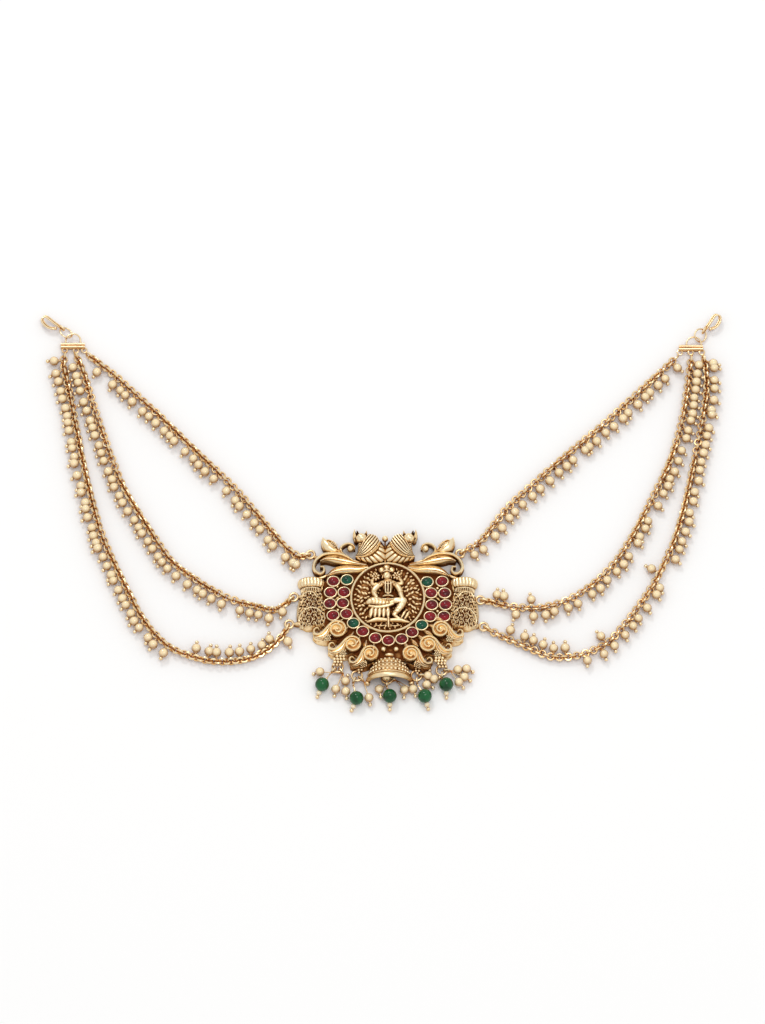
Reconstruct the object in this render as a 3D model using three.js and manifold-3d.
// A hair braid ornament in antique gold tone: a cast brooch with a seated figure in a round frame,
// cabochons, peacocks, vases and scrolls, bead drops below it, and three chains to each side that
// meet in an end bar with a ring and a hook. It lies flat: +X to its right, +Y to its top, +Z up.
// The origin is the middle of the brooch's flat back. Millimetres throughout.
import * as THREE from "three";
import { mergeVertices } from "three/addons/utils/BufferGeometryUtils.js";
import Module from "manifold-3d";

const wasm = await Module();
wasm.setup();

// ---------------------------------------------------------------- driving dimensions

const PLATE = 1.6; // thickness of the cast plate behind the relief
const GAP = 0.3; // clearance between separate pieces

const MEDALLION = { outer: 11.6, inner: 10.8, rimTop: 3.5, discThickness: 0.5 };
const STONE_BED = 2.5; // height of the raised bed that the stones are set in
const STONE = { radius: 1.55, foot: 1.7, girdle: 0.9, rise: 1.0, sides: 10 };
const SCROLL = { halfWidth: 0.85, tip: 0.35, top: 3.7 };
const CREST_AXIS = -0.8; // x of the line between the two peacocks
const BELL = { x: 0.6, top: -18.9, rim: -26.4, radius: 7.0, wall: 0.8, rib: 1.1 };

const CHAIN_RADIUS = 1.3; // a chain's outer radius: the tube that stands for its links
const CHAIN_SIDES = 8;
const CHAIN_STEP = 3.2; // in chain diameters
const CHAIN_Z = CHAIN_RADIUS + 0.05;

const CHAIN_LOOP = { radius: 1.25, wire: 0.4, z: 1.6 }; // cast loops that take the chains
const CHAIN_RING = { radius: 1.2, wire: 0.3 };
const DROP_LOOP = { radius: 1.6, wire: 0.35, z: 1.45 }; // cast loops that take the drops
const DROP_RING = { radius: 1.0, wire: 0.22 };

const BEAD = 2.05; // radii of what hangs on the pins
const SEED = 0.8;
const PEARL = 1.25;
const GOLD_END = 0.55;
const PIN = 0.22;
const CLOSE = 0.35; // how far beads on one pin sink into each other

const BAR = { length: 7.5, width: 1.5, thickness: 1.6, z: 1.1 };
const BAIL = { radius: 2.3, wire: 0.25, z: 1.6 };
const END_RING = { radius: 2.05, wire: 0.25, tilt: 35 };
const HOOK = { shank: 6.4, bend: 1.25, back: 4.6, wire: 0.3, doubled: 0.56, eye: 0.95 };

const BEAD_SIDES = 10; // sides of beads and pearls
const SMALL_SIDES = 6; // sides of granules and of the small gold balls
const WIRE_SIDES = 5;
const RIM_SIDES = 24;

// ---------------------------------------------------------------- solids from geometry

const radians = THREE.MathUtils.degToRad;
const heading = (degrees) => new THREE.Vector3(Math.cos(radians(degrees)), Math.sin(radians(degrees)), 0);

/** The triangles of an indexed geometry whose three corners differ. */
function realTriangles(index) {
  const kept = [];
  for (let i = 0; i < index.length; i += 3) {
    const [a, b, c] = [index[i], index[i + 1], index[i + 2]];
    if (a !== b && b !== c && c !== a) kept.push(a, b, c);
  }
  return kept;
}

/** A closed geometry as a solid, turned to face outwards. */
function solid(geometry) {
  const bare = new THREE.BufferGeometry();
  bare.setAttribute("position", geometry.getAttribute("position"));
  bare.setIndex(geometry.index);
  const merged = mergeVertices(bare, 1e-4);
  const vertProperties = new Float32Array(merged.attributes.position.array);
  const corners = realTriangles(merged.index.array);
  const build = (list) =>
    new wasm.Manifold(new wasm.Mesh({ numProp: 3, vertProperties, triVerts: new Uint32Array(list) }));
  const made = build(corners);
  return made.volume() < 0 ? build(corners.reverse()) : made;
}

/** Joins a list of solids into one. */
function join(solids) {
  return solids.reduce((sum, next) => sum.add(next));
}

/** A solid as a named mesh. */
function meshOf(name, shape, material) {
  const { numProp, numVert, vertProperties, triVerts } = shape.getMesh();
  const positions = new Float32Array(numVert * 3);
  for (let i = 0; i < numVert; i += 1) {
    positions.set(vertProperties.subarray(i * numProp, i * numProp + 3), i * 3);
  }
  const geometry = new THREE.BufferGeometry();
  geometry.setAttribute("position", new THREE.BufferAttribute(positions, 3));
  geometry.setIndex(new THREE.BufferAttribute(new Uint32Array(triVerts), 1));
  geometry.computeVertexNormals();
  const mesh = new THREE.Mesh(geometry, material);
  mesh.name = name;
  return mesh;
}

/** A ball. */
function ball(x, y, z, radius, sides = BEAD_SIDES) {
  return solid(new THREE.SphereGeometry(radius, sides, 4).translate(x, y, z));
}

/** A straight round rod between two points. */
function rod(from, to, radius, sides = WIRE_SIDES) {
  const along = new THREE.Vector3().subVectors(to, from);
  const geometry = new THREE.CylinderGeometry(radius, radius, along.length(), sides);
  const up = new THREE.Vector3(0, 1, 0);
  geometry.applyQuaternion(new THREE.Quaternion().setFromUnitVectors(up, along.clone().normalize()));
  const middle = new THREE.Vector3().addVectors(from, to).multiplyScalar(0.5);
  return solid(geometry.translate(middle.x, middle.y, middle.z));
}

/** A flat-backed mound on the back plane: an ellipse in plan with a rounded top. */
function mound(x, y, halfLength, halfWidth, height, degrees = 0, sides = 8) {
  const outline = [[0, 0], [1, 0], [0.96, 0.55], [0.6, 0.9], [0, 1]];
  const profile = outline.map(([r, z]) => new THREE.Vector2(r, z));
  const geometry = new THREE.LatheGeometry(profile, sides);
  geometry.rotateX(Math.PI / 2);
  geometry.scale(halfLength, halfWidth, height);
  geometry.rotateZ(radians(degrees));
  return solid(geometry.translate(x, y, 0));
}

/** An upright plate with a straight-sided outline, from the back plane to a height. */
function plate(corners, height) {
  const shape = new THREE.Shape(corners.map(([x, y]) => new THREE.Vector2(x, y)));
  return solid(new THREE.ExtrudeGeometry(shape, { depth: height, bevelEnabled: false }));
}

/**
 * A cast strip along a flat path, with a flat back and a rounded top. Each row is
 * [x, y, half width, height]; the section changes smoothly from row to row.
 */
function strip(rows, count) {
  const path = new THREE.CatmullRomCurve3(rows.map(([x, y]) => new THREE.Vector3(x, y, 0)));
  const size = new THREE.CatmullRomCurve3(rows.map(([, , w, h]) => new THREE.Vector3(w, h, 0)));
  const section = [[1, 0], [0.6, 1], [-0.6, 1], [-1, 0]];
  const positions = [];
  for (let i = 0; i <= count; i += 1) {
    const at = path.getPoint(i / count);
    const ahead = path.getTangent(i / count);
    const { x: halfWidth, y: height } = size.getPoint(i / count);
    for (const [across, up] of section) {
      positions.push(at.x - ahead.y * across * halfWidth, at.y + ahead.x * across * halfWidth, up * height);
    }
  }
  const n = section.length;
  const index = [];
  for (let i = 0; i < count; i += 1) {
    for (let j = 0; j < n; j += 1) {
      const [a, b] = [i * n + j, i * n + ((j + 1) % n)];
      index.push(a, b, a + n, b, b + n, a + n);
    }
  }
  for (let j = 1; j < n - 1; j += 1) {
    index.push(0, j + 1, j);
    index.push(count * n, count * n + j, count * n + j + 1);
  }
  const geometry = new THREE.BufferGeometry();
  geometry.setAttribute("position", new THREE.Float32BufferAttribute(positions, 3));
  geometry.setIndex(index);
  return solid(geometry);
}

/** A round wire ring that lies flat at a height. */
function flatRing(x, y, z, radius, wire, sides = 8) {
  return solid(new THREE.TorusGeometry(radius, wire, WIRE_SIDES, sides).translate(x, y, z));
}

/** A wire ring that stands on edge, its plane holding +Z and a heading in degrees. */
function standingRing(x, y, z, radius, wire, degrees, sides = 10) {
  const geometry = new THREE.TorusGeometry(radius, wire, WIRE_SIDES, sides);
  geometry.rotateX(Math.PI / 2).rotateZ(radians(degrees));
  return solid(geometry.translate(x, y, z));
}

/** What a solid has above the back plane. */
function aboveBack(shape) {
  const reach = 80;
  const cutter = solid(new THREE.BoxGeometry(reach, reach, reach).translate(0, 0, -reach / 2));
  return shape.subtract(cutter);
}

// ---------------------------------------------------------------- the casting

// The places of the cabochons, row by row from the top down each side and round the arc.
const STONES = [
  { colour: "red", x: -16.8, y: 5.5 },
  { colour: "green", x: -12.6, y: 6.0 },
  { colour: "red", x: -17.7, y: 1.8 },
  { colour: "red", x: -13.5, y: 1.9 },
  { colour: "red", x: -17.9, y: -1.9 },
  { colour: "red", x: -13.9, y: -1.7 },
  { colour: "red", x: -16.9, y: -5.8 },
  { colour: "red", x: -12.7, y: -5.3 },
  { colour: "green", x: -10.6, y: -8.4 },
  { colour: "red", x: -7.7, y: -11.1 },
  { colour: "red", x: -3.8, y: -13.3 },
  { colour: "red", x: 0.2, y: -14.1 },
  { colour: "red", x: 4.3, y: -13.6 },
  { colour: "red", x: 7.5, y: -11.4 },
  { colour: "green", x: 10.5, y: -9.0 },
  { colour: "red", x: 13.1, y: -6.2 },
  { colour: "red", x: 17.4, y: -6.1 },
  { colour: "red", x: 13.6, y: -2.3 },
  { colour: "red", x: 17.9, y: -2.3 },
  { colour: "red", x: 13.4, y: 1.6 },
  { colour: "red", x: 17.6, y: 1.6 },
  { colour: "green", x: 12.2, y: 5.3 },
  { colour: "red", x: 16.8, y: 5.5 },
];

// The S scrolls, from the vases down to the bell: eye of the spiral, then the small outer curl.
const SCROLLS = [
  { side: -1, x: -15.6, y: -10.3, radius: 2.8, curlX: -21.4, curlY: -10.5, curlRadius: 1.4 },
  { side: -1, x: -11.1, y: -15.3, radius: 2.65, curlX: -17.1, curlY: -15.5, curlRadius: 1.3 },
  { side: -1, x: -5.5, y: -18.5, radius: 2.8, curlX: -10.9, curlY: -20.0, curlRadius: 1.3 },
  { side: 1, x: 16.2, y: -10.4, radius: 2.8, curlX: 21.7, curlY: -11.2, curlRadius: 1.4 },
  { side: 1, x: 12.8, y: -15.4, radius: 2.65, curlX: 18.3, curlY: -16.0, curlRadius: 1.3 },
  { side: 1, x: 7.2, y: -18.5, radius: 2.8, curlX: 12.5, curlY: -20.3, curlRadius: 1.3 },
];

// The stepped plates that back the scrolls, one at each side.
const FANS = [
  [
    [-12, -8], [-22.5, -9.5], [-23, -12], [-21, -14], [-17.4, -14.6], [-18.6, -16.6], [-17.2, -18.8],
    [-13.6, -19.5], [-12, -22.2], [-8.6, -23.8], [-5, -21.5], [-3, -17],
  ],
  [
    [4, -17], [6.4, -21.8], [9.8, -24], [13.2, -22.6], [14.6, -19.8], [18, -19.2], [19.7, -16.8],
    [18.2, -15], [21.6, -14.5], [23.6, -12.2], [23, -9.8], [12, -8],
  ],
];

// The outline of the bed that holds the stones, anticlockwise from the top left.
const STONE_FIELD = [
  [-9, 9.6], [-19, 8.4], [-20.6, 4], [-20.8, -7], [-18, -12], [-13, -17], [-7, -20.5], [-2, -20.2],
  [3.5, -20.2], [8.5, -20.6], [14.5, -17], [19.5, -12], [20.9, -7], [20.8, 4], [19.4, 8.2], [9, 9.6],
];

/** The rimmed dish that takes the medallion. */
function dish() {
  const { outer, inner, rimTop } = MEDALLION;
  const profile = [[0, 0], [outer, 0], [outer, rimTop], [inner, rimTop], [inner, PLATE], [0, PLATE]];
  const points = profile.map(([r, z]) => new THREE.Vector2(r, z));
  return solid(new THREE.LatheGeometry(points, RIM_SIDES).rotateX(Math.PI / 2));
}

/** The room that the medallion and the stones need: a well, and a round seat for each stone. */
function seats() {
  const depth = 10;
  const room = (x, y, radius, floor, sides) => {
    const cylinder = new THREE.CylinderGeometry(radius, radius, depth, sides);
    return solid(cylinder.rotateX(Math.PI / 2).translate(x, y, floor + depth / 2));
  };
  const stoneRooms = STONES.map(({ x, y }) => room(x, y, STONE.radius + GAP, STONE.foot - GAP, STONE.sides));
  return join([room(0, 0, MEDALLION.inner, PLATE, RIM_SIDES), ...stoneRooms]);
}

/** One S scroll: a small curl outside that runs into a big spiral inside. */
function scroll({ side, x, y, radius, curlX, curlY, curlRadius }) {
  const rows = [];
  const { halfWidth, tip, top } = SCROLL;
  for (let angle = 170; angle <= 300; angle += 65) {
    const at = heading(angle).multiplyScalar(curlRadius - tip);
    const grown = tip + (halfWidth - tip) * ((angle - 170) / 260);
    rows.push([curlX - side * at.x, curlY + at.y, grown, top - 0.8]);
  }
  const turn = 480;
  for (let swept = 0; swept <= turn; swept += 60) {
    const share = swept / turn;
    const at = heading(130 - swept).multiplyScalar((radius - halfWidth) * (1 - 0.72 * share));
    rows.push([x - side * at.x, y + at.y, halfWidth + (tip - halfWidth) * share, top]);
  }
  return strip(rows, 11);
}

/** A flat-backed vase: fluted mouth, neck and a belly that widens downwards. */
function vase({ x, mouth, neck, base, lean }) {
  const profile = [
    [0, base - 0.3], [3.3, base], [4.05, base + 1.4], [4.1, base + 3.4], [3.6, base + 7.0], [2.8, neck],
    [2.8, neck + 0.6], [4.0, mouth], [3.6, mouth + 0.7], [0, mouth + 0.8],
  ].map(([r, y]) => new THREE.Vector2(r, y));
  const geometry = new THREE.LatheGeometry(profile, 10);
  geometry.scale(1, 1, 0.95).rotateZ(radians(lean)).translate(x, 0, 0);
  return aboveBack(solid(geometry));
}

const VASES = [
  { x: -24.2, mouth: 6.3, neck: 3.0, base: -10.2, lean: 0 },
  { x: 24.2, mouth: 6.0, neck: 2.8, base: -10.4, lean: 0 },
];

/** The leafy arms of the crest at one side; a point is its distance from the brooch's middle. */
function fronds(side, reach) {
  const rows = (list) => list.map(([x, y, w, h]) => [side * (x + reach), y, w, h]);
  const upper = rows([
    [5.8, 10.4, 1.2, 2.6], [9.5, 11.8, 1.5, 3.2], [13.5, 13.2, 1.3, 3.2], [17.2, 14.0, 0.8, 3.0],
    [20.8, 13.7, 0.65, 2.8], [22.8, 11.8, 0.65, 2.8], [22.6, 9.2, 0.65, 2.8], [21.0, 7.9, 0.7, 2.8],
    [19.8, 9.3, 0.7, 2.8], [20.6, 10.9, 0.5, 2.8],
  ]);
  const lower = rows([
    [7.4, 9.7, 1.1, 2.6], [11.5, 9.9, 1.2, 3.0], [16.0, 9.2, 1.1, 3.0], [19.8, 7.6, 1.0, 2.8],
    [23.0, 6.3, 0.9, 2.6],
  ]);
  const curl = rows([
    [8.0, 11.6, 0.9, 2.6], [11.2, 13.0, 0.8, 3.0], [13.7, 14.6, 0.65, 3.0], [14.0, 16.6, 0.6, 3.0],
    [12.4, 17.6, 0.55, 3.0], [11.1, 16.6, 0.5, 2.8],
  ]);
  const stem = rows([[12.6, 13.2, 0.8, 2.6], [15.2, 14.9, 0.7, 2.8], [17.6, 16.6, 0.8, 3.0]]);
  return [
    strip(upper, 12), strip(lower, 4), strip(curl, 6), strip(stem, 2),
    mound(side * (11.2 + reach), 16.6, 1.1, 1.1, 3.6),
    mound(side * (17.9 + reach), 17.2, 3.1, 1.5, 3.3, 90 - side * 42),
  ];
}

/** A peacock that looks outwards, drawn by its distance from the line between the pair. */
function peacock(side) {
  const place = (reach) => CREST_AXIS + side * reach;
  const neck = [
    [place(6.6), 13.2, 1.5, 3.0], [place(7.9), 15.6, 1.3, 3.8], [place(8.1), 17.6, 1.1, 4.4],
    [place(7.5), 19.6, 1.1, 4.6],
  ];
  return [
    plate(
      [[place(0), 9], [place(9), 10.5], [place(8.5), 14], [place(5), 19], [place(0), 19]].map(
        ([x, y]) => [x, y],
      ),
      PLATE,
    ),
    strip(neck, 3),
    mound(place(7.6), 20.0, 1.7, 1.4, 5.2, side * -12),
    mound(place(9.2), 19.5, 0.9, 0.45, 4.4, side * -25, 6),
    mound(place(8.8), 21.9, 1.3, 0.5, 4.4, side * 60, 6),
    mound(place(6.0), 21.6, 1.0, 0.6, 4.2, side * 110, 6),
    mound(place(3.7), 17.4, 4.0, 2.2, 4.6, 90 - side * 48),
    mound(place(4.8), 13.7, 5.0, 1.8, 3.8, side * -14),
  ];
}

/** The half bell at the bottom: a hollow half-round dome, open below and behind. */
function bell() {
  const { x, top, rim, radius, wall, rib } = BELL;
  const drop = top - rim;
  const curve = [[0.2, 0], [0.42, 0.12], [0.66, 0.36], [0.84, 0.64], [0.95, 0.9]];
  const outer = curve.map(([r, d]) => [r * radius, top - d * drop]);
  const inner = curve.slice(1).reverse().map(([r, d]) => [r * radius - wall, top - d * drop - wall * 0.2]);
  const lip = [
    [radius + 0.1, rim + 0.5], [radius + 0.1, rim - 0.4], [radius - 0.4, rim - 0.7],
    [radius - rib, rim - 0.3], [radius - rib, rim + 0.4],
  ];
  const profile = [[0, top + 0.3], ...outer, ...lip, ...inner, [0, top - drop * 0.25]];
  const geometry = new THREE.LatheGeometry(profile.map(([r, y]) => new THREE.Vector2(r, y)), 14);
  const tongue = strip([[x, -18, 1.2, 1.8], [0.1, -22, 0.7, 1.8], [-0.2, -24.6, 0.5, 1.8]], 2);
  return [aboveBack(solid(geometry.translate(x, 0, 0))), tongue];
}

// The bunches of granules under the second scroll at each side, each one mound.
const GRANULES = [{ x: -14.6, y: -19.0 }, { x: 16.0, y: -20.4 }];

// The cast loops that the five drops hang from, and where each one's tongue starts.
const DROP_LOOPS = [
  { x: -15.4, y: -22.3, from: [-14.8, -19.5] },
  { x: -9.5, y: -25.2, from: [-9.2, -22.0] },
  { x: -0.2, y: -26.1, from: [-0.2, -24.0] },
  { x: 8.8, y: -25.2, from: [9.6, -22.0] },
  { x: 16.6, y: -23.4, from: [16.2, -20.5] },
];

// Where the six chains join the brooch: the loop, and the heading in which the chain leaves it.
const CHAIN_LOOPS = {
  left_upper: { x: -23.9, y: 14.9, leaves: 192, from: [-21.9, 13.6] },
  left_middle: { x: -29.0, y: 0.8, leaves: 220, from: [-26.6, 0.8] },
  left_lower: { x: -30.4, y: -8.2, leaves: 242, from: [-27.4, -8.2] },
  right_upper: { x: 22.4, y: 15.2, leaves: 33, from: [20.9, 13.8] },
  right_middle: { x: 28.6, y: -0.2, leaves: -9, from: [26.6, -0.2] },
  right_lower: { x: 29.6, y: -9.0, leaves: -30, from: [27.4, -8.8] },
};

/** A cast loop with the tongue that ties it to the plate, cut as one flat eyelet. */
function castLoop({ x, y, from }, { radius, wire, z }) {
  const inward = new THREE.Vector2(x - from[0], y - from[1]);
  const outer = radius + wire;
  const shape = new THREE.Shape();
  shape.moveTo(-inward.length(), -wire * 1.4);
  shape.absarc(0, 0, outer, radians(-140), radians(140), false);
  shape.lineTo(-inward.length(), wire * 1.4);
  shape.closePath();
  shape.holes.push(new THREE.Path().absarc(0, 0, radius - wire, 0, 2 * Math.PI, true));
  const geometry = new THREE.ExtrudeGeometry(shape, { depth: 2 * wire, bevelEnabled: false, curveSegments: 4 });
  geometry.translate(0, 0, z - wire).rotateZ(inward.angle());
  return solid(geometry.translate(x, y, 0));
}

function brooch() {
  const cast = join([
    plate(STONE_FIELD, STONE_BED),
    dish(),
    ...FANS.map((outline) => plate(outline, 2.1)),
    ...SCROLLS.map(scroll),
    ...VASES.map(vase),
    ...fronds(-1, 0.3),
    ...fronds(1, -0.1),
    ...peacock(-1),
    ...peacock(1),
    mound(CREST_AXIS, 19.9, 1.1, 1.1, 4.4),
    strip([[CREST_AXIS, 11, 0.5, 2.8], [CREST_AXIS, 19, 0.4, 3.2]], 1),
    ...[-1.5, 2.6].map((x) => mound(x, -17.1, 0.85, 0.85, 3.6)),
    ...bell(),
    ...GRANULES.map(({ x, y }) => mound(x, y, 1.9, 2.1, 3.0)),
    ...DROP_LOOPS.map((loop) => castLoop(loop, DROP_LOOP)),
    ...Object.values(CHAIN_LOOPS).map((loop) => castLoop(loop, CHAIN_LOOP)),
  ]);
  return cast.subtract(seats());
}

// ---------------------------------------------------------------- the medallion and the stones

/** The round panel: a disc and, raised on it, a crowned four-armed figure seated on a lotus. */
function medallion() {
  const floor = PLATE + GAP;
  const face = floor + MEDALLION.discThickness;
  const radius = MEDALLION.inner - GAP;
  const disc = new THREE.CylinderGeometry(radius, radius, MEDALLION.discThickness, RIM_SIDES);
  disc.rotateX(Math.PI / 2).translate(0, 0, floor + MEDALLION.discThickness / 2);
  const back = solid(new THREE.BoxGeometry(30, 30, 10).translate(0, 0, floor - 5));
  const raised = (x, y, halfLength, halfWidth, rise, degrees = 0, sides = 8) => {
    const shape = new THREE.SphereGeometry(1, sides, 4);
    shape.rotateX(Math.PI / 2);
    shape.scale(halfLength, halfWidth, rise).rotateZ(radians(degrees));
    return solid(shape.translate(x, y, face));
  };
  const parts = [
    solid(disc),
    raised(-0.2, 7.1, 1.15, 1.35, 1.7), // head
    raised(-0.2, 9.0, 0.8, 1.1, 1.4), // crown
    raised(0, 2.6, 1.9, 3.0, 1.5), // trunk
    raised(0, -2.4, 5.2, 1.8, 1.7, 0, 10), // crossed legs
    raised(0, -6.0, 5.0, 1.6, 1.2, 0, 10), // lotus seat
    raised(0, -8.2, 6.0, 0.7, 0.8, 0, 10), // foot of the seat
  ];
  for (const side of [-1, 1]) {
    parts.push(
      raised(side * 3.0, 4.6, 2.0, 0.7, 1.2, side * 35), // raised arm
      raised(side * 4.2, 6.5, 0.9, 0.9, 1.1), // flower
      raised(side * 3.4, 1.6, 2.3, 0.7, 1.2, side * -60), // lowered arm
    );
  }
  return join(parts).subtract(back);
}

/** A low cabochon that sits in its cup. */
function cabochon({ x, y }) {
  const { radius, foot, girdle, rise, sides } = STONE;
  const profile = [
    [0, foot], [radius, foot], [radius, foot + girdle], [radius * 0.68, foot + girdle + rise * 0.72],
    [0, foot + girdle + rise],
  ].map(([r, z]) => new THREE.Vector2(r, z));
  return solid(new THREE.LatheGeometry(profile, sides).rotateX(Math.PI / 2).translate(x, y, 0));
}

// ---------------------------------------------------------------- the drops and pearl bunches

// Each drop: the heading in which its ring leaves the loop, its bead, and the heading of the pin's end.
const DROPS = [
  { leaves: 222, bead: [-20.2, -28.3], tip: 248 },
  { leaves: 242, bead: [-9.6, -32.8], tip: 247 },
  { leaves: 268, bead: [0.6, -32.1], tip: 271 },
  { leaves: 275, bead: [11.4, -32.1], tip: 286 },
  { leaves: 275, bead: [18.0, -28.3], tip: 271 },
];

// Each bunch of pearls: the heading of its ring, and where its pearls lie.
const BUNCHES = [
  { leaves: 308, pearls: [[-13.0, -27.0], [-12.9, -30.3], [-16.0, -29.6]] },
  { leaves: 322, pearls: [[-5.8, -32.4]] },
  { leaves: 350, pearls: [[5.1, -29.9], [7.8, -29.6]] },
  { leaves: 0, pearls: [[12.4, -25.2], [14.3, -26.3], [12.0, -28.2]] },
  { leaves: 355, pearls: [[21.6, -23.2], [24.3, -22.9], [21.9, -27.3]] },
];

/** The ring that goes through a cast loop, and the point where its load starts. */
function dropRing({ x, y }, leaves) {
  const along = heading(leaves);
  const at = along.clone().multiplyScalar(DROP_LOOP.radius).add(new THREE.Vector3(x, y, DROP_LOOP.z));
  const start = along.clone().multiplyScalar(DROP_RING.radius).add(at);
  return { ring: standingRing(at.x, at.y, at.z, DROP_RING.radius, DROP_RING.wire, leaves), start };
}

/** The middle of a ball that lies on the surface. */
const lying = ([x, y], radius) => new THREE.Vector3(x, y, radius + 0.04);

/** A pearl on a pin. */
function pearlOnPin(start, place) {
  const at = lying(place, PEARL);
  return [rod(start, at, PIN), ball(at.x, at.y, at.z, PEARL)];
}

/** A green bead with a seed bead and a small gold ball below it, close up against each other. */
function drop(number) {
  const { leaves, bead, tip } = DROPS[number];
  const { ring, start } = dropRing(DROP_LOOPS[number], leaves);
  const middle = lying(bead, BEAD);
  const down = heading(tip).setZ(-0.4).normalize();
  const below = (distance) => down.clone().multiplyScalar(distance).add(middle);
  const seed = below(BEAD + SEED - CLOSE);
  const end = below(BEAD + 2 * SEED + GOLD_END - 2 * CLOSE);
  return join([
    ring,
    rod(start, middle, PIN),
    ball(middle.x, middle.y, middle.z, BEAD),
    ball(seed.x, seed.y, seed.z, SEED, SMALL_SIDES),
    ball(end.x, end.y, end.z, GOLD_END, SMALL_SIDES),
  ]);
}

function pearlBunch(number) {
  const { leaves, pearls } = BUNCHES[number];
  const { ring, start } = dropRing(DROP_LOOPS[number], leaves);
  return join([ring, ...pearls.flatMap((one) => pearlOnPin(start, one))]);
}

// ---------------------------------------------------------------- the chains

// The way each chain lies, from its end bar to the brooch. Its last point is added at its ring.
const ROUTES = {
  left_upper: [
    [-93.4, 82.0], [-86.1, 76.0], [-73.7, 64.2], [-61.3, 51.4], [-48.9, 38.7], [-42.7, 31.4],
    [-36.5, 23.4], [-31.0, 17.0],
  ],
  left_middle: [
    [-97.4, 82.0], [-94.5, 76.0], [-88.6, 56.8], [-84.5, 46.1], [-79.9, 35.1], [-69.7, 16.8],
    [-63.8, 10.0], [-52.0, 2.0], [-45.8, -0.7], [-39.6, -2.4], [-35.0, -3.4],
  ],
  left_lower: [
    [-101.0, 82.0], [-99.1, 73.5], [-94.5, 45.1], [-91.0, 31.7], [-87.6, 19.0], [-78.6, -0.7],
    [-73.4, -9.4], [-67.5, -15.4], [-61.3, -18.4], [-53.5, -20.4], [-44.2, -19.8], [-37.1, -16.6],
  ],
  right_upper: [
    [90.0, 81.0], [79.8, 71.0], [67.4, 58.9], [55.0, 47.8], [42.6, 36.1], [36.4, 29.7], [29.4, 20.2],
  ],
  right_middle: [
    [94.9, 80.9], [92.5, 63.5], [89.1, 50.1], [84.4, 38.4], [74.5, 18.8], [68.3, 10.0], [61.5, 3.6],
    [54.0, -0.7], [45.7, -2.7], [36.4, -1.9],
  ],
  right_lower: [
    [98.8, 80.9], [99.6, 75.0], [98.7, 63.5], [93.4, 36.7], [90.0, 23.4], [86.6, 14.2], [80.7, 2.6],
    [70.2, -11.8], [64.0, -16.4], [56.5, -18.8], [49.7, -18.6], [42.6, -15.4], [37.6, -13.2],
  ],
};

/** The first point of a chain past the jump ring that joins it to the brooch. */
function chainEnd(loop) {
  const slant = 0.4; // more room, because the tube's end isn't square to the ring
  const clear = CHAIN_LOOP.radius + CHAIN_RING.radius + CHAIN_RING.wire + GAP + slant;
  return heading(loop.leaves).multiplyScalar(clear).add(new THREE.Vector3(loop.x, loop.y, CHAIN_Z));
}

function chain(which) {
  const points = ROUTES[which].map(([x, y]) => new THREE.Vector3(x, y, CHAIN_Z));
  const path = new THREE.CatmullRomCurve3([...points, chainEnd(CHAIN_LOOPS[which])]);
  const corner = (i) => heading((i * 360) / CHAIN_SIDES).multiplyScalar(CHAIN_RADIUS);
  const corners = Array.from({ length: CHAIN_SIDES }, (_, i) => new THREE.Vector2(corner(i).x, corner(i).y));
  const steps = Math.round(path.getLength() / (CHAIN_STEP * 2 * CHAIN_RADIUS));
  return solid(new THREE.ExtrudeGeometry(new THREE.Shape(corners), { steps, extrudePath: path }));
}

function chainRing(which) {
  const { x, y, leaves } = CHAIN_LOOPS[which];
  const at = heading(leaves).multiplyScalar(CHAIN_LOOP.radius).add(new THREE.Vector3(x, y, 0));
  return standingRing(at.x, at.y, CHAIN_LOOP.z, CHAIN_RING.radius, CHAIN_RING.wire, leaves);
}

// ---------------------------------------------------------------- the two ends

// Each end: the bar, its bail and lugs from the bar's middle, and the headings of ring and hook.
const ENDS = {
  left: { bar: [-97.9, 85.1], bail: [0.1, 1.7], lugs: [-3.1, 0.4, 3.4], ringHeading: 130, hookHeading: 142, fold: 1 },
  right: { bar: [94.4, 84.1], bail: [0.9, 1.6], lugs: [-3.4, 0.4, 3.6], ringHeading: 60, hookHeading: 56, fold: -1 },
};

const bailCentre = ({ bar, bail }) => new THREE.Vector3(bar[0] + bail[0], bar[1] + bail[1], BAIL.z);

/** The middle of the ring that hangs in the bail: 0.8 mm of it lies inside the bail. */
function ringCentre(end) {
  const apart = BAIL.radius + END_RING.radius - 0.8;
  return heading(end.ringHeading).multiplyScalar(apart).add(bailCentre(end));
}

/** A wire through a few points that lie level: its half height, then its half width. */
function wireAlong(points, halfHeight, halfWidth, steps) {
  const corners = Array.from({ length: WIRE_SIDES + 1 }, (_, i) => heading((i * 360) / (WIRE_SIDES + 1)));
  const section = new THREE.Shape(corners.map((at) => new THREE.Vector2(at.x * halfHeight, at.y * halfWidth)));
  const extrudePath = new THREE.CatmullRomCurve3(points);
  return solid(new THREE.ExtrudeGeometry(section, { steps, extrudePath }));
}

function endBar(end) {
  const [x, y] = end.bar;
  const body = new THREE.BoxGeometry(BAR.length, BAR.width, BAR.thickness).translate(x, y, BAR.z);
  const centre = bailCentre(end);
  const leg = new THREE.Vector3(BAIL.radius, y - centre.y, 0);
  const arch = [0, 45, 90, 135, 180].map((angle) => heading(angle).multiplyScalar(BAIL.radius));
  const route = [leg, ...arch, leg.clone().multiply(new THREE.Vector3(-1, 1, 1))].map((at) => at.add(centre));
  const bail = wireAlong(route, BAIL.wire, BAIL.wire, 8);
  const lugs = end.lugs.map((shift) => flatRing(x + shift, y - BAR.width / 2 - 0.5, BAR.z, 0.75, BAIL.wire, 6));
  return join([solid(body), bail, ...lugs]);
}

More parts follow.
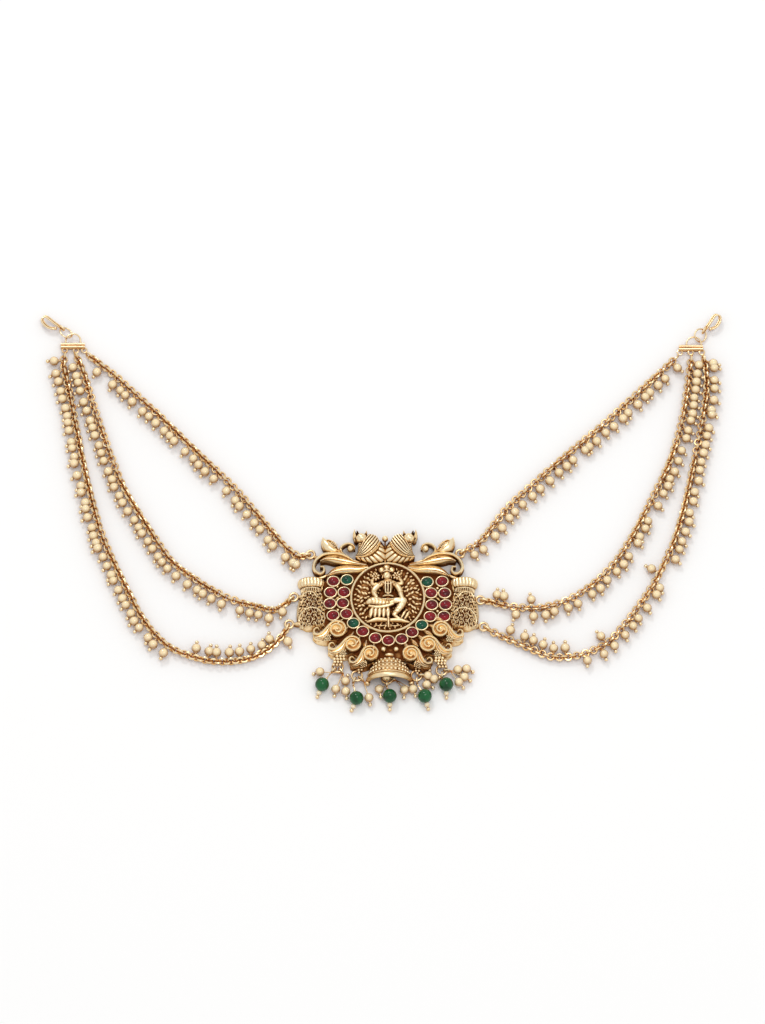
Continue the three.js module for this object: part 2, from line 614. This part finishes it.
function endRing(end) {
  const centre = ringCentre(end);
  const geometry = new THREE.TorusGeometry(END_RING.radius, END_RING.wire, WIRE_SIDES, 12);
  geometry.rotateX(radians(END_RING.tilt)).rotateZ(radians(end.ringHeading));
  return solid(geometry.translate(centre.x, centre.y, centre.z));
}

/** A doubled-wire hook that lies on its side: an eye on the ring, a shank, a bend and a return. */
function hook(end) {
  const eye = heading(end.ringHeading).multiplyScalar(END_RING.radius).add(ringCentre(end));
  const ahead = heading(end.hookHeading);
  const aside = heading(end.hookHeading + end.fold * 90);
  const at = (u, v) =>
    ahead.clone().multiplyScalar(u).addScaledVector(aside, v).add(new THREE.Vector3(eye.x, eye.y, BAIL.z));
  const { shank, bend, back, wire, doubled } = HOOK;
  const start = HOOK.eye - 0.1;
  const outline = [
    [start, 0], [start + shank / 2, 0], [start + shank, 0], [start + shank + bend * 0.75, bend * 0.35],
    [start + shank + bend, bend], [start + shank + bend * 0.75, bend * 1.65],
    [start + shank, bend * 2], [start + shank - back / 2, bend * 2.1], [start + shank - back, bend * 2.3],
  ];
  const shaft = wireAlong(outline.map(([u, v]) => at(u, v)), doubled, wire, 10);
  return join([shaft, standingRing(eye.x, eye.y, BAIL.z, HOOK.eye, wire, end.hookHeading)]);
}

// ---------------------------------------------------------------- the assembly

const gold = new THREE.MeshStandardMaterial({ color: 0xc9954e, roughness: 0.38, metalness: 1 });
const chainGold = new THREE.MeshStandardMaterial({ color: 0xd09a55, roughness: 0.3, metalness: 1 });
const pearl = new THREE.MeshStandardMaterial({ color: 0xe9d8ae, roughness: 0.35, metalness: 0 });
const green = new THREE.MeshStandardMaterial({ color: 0x00603a, roughness: 0.12, metalness: 0 });
const red = new THREE.MeshStandardMaterial({ color: 0x8e0a1e, roughness: 0.15, metalness: 0 });

const ornament = new THREE.Group();
const centrepiece = new THREE.Group();
centrepiece.add(meshOf("brooch_casting", brooch(), gold));
centrepiece.add(meshOf("medallion_disc", medallion(), gold));
const counts = { red: 0, green: 0 };
for (const stone of STONES) {
  counts[stone.colour] += 1;
  const name = `stone_${stone.colour}_${String(counts[stone.colour]).padStart(2, "0")}`;
  centrepiece.add(meshOf(name, cabochon(stone), stone.colour === "red" ? red : green));
}
for (let i = 0; i < DROPS.length; i += 1) {
  centrepiece.add(meshOf(`drop_${i + 1}`, drop(i), green));
  centrepiece.add(meshOf(`pearl_bunch_${i + 1}`, pearlBunch(i), pearl));
}
ornament.add(centrepiece);

const chains = new THREE.Group();
for (const which of Object.keys(ROUTES)) {
  chains.add(meshOf(`chain_${which}`, chain(which), chainGold));
  chains.add(meshOf(`chain_ring_${which}`, chainRing(which), chainGold));
}
ornament.add(chains);

const ends = new THREE.Group();
for (const [side, end] of Object.entries(ENDS)) {
  ends.add(meshOf(`end_bar_${side}`, endBar(end), chainGold));
  ends.add(meshOf(`end_ring_${side}`, endRing(end), chainGold));
  ends.add(meshOf(`hook_${side}`, hook(end), chainGold));
}
ornament.add(ends);

export default ornament;
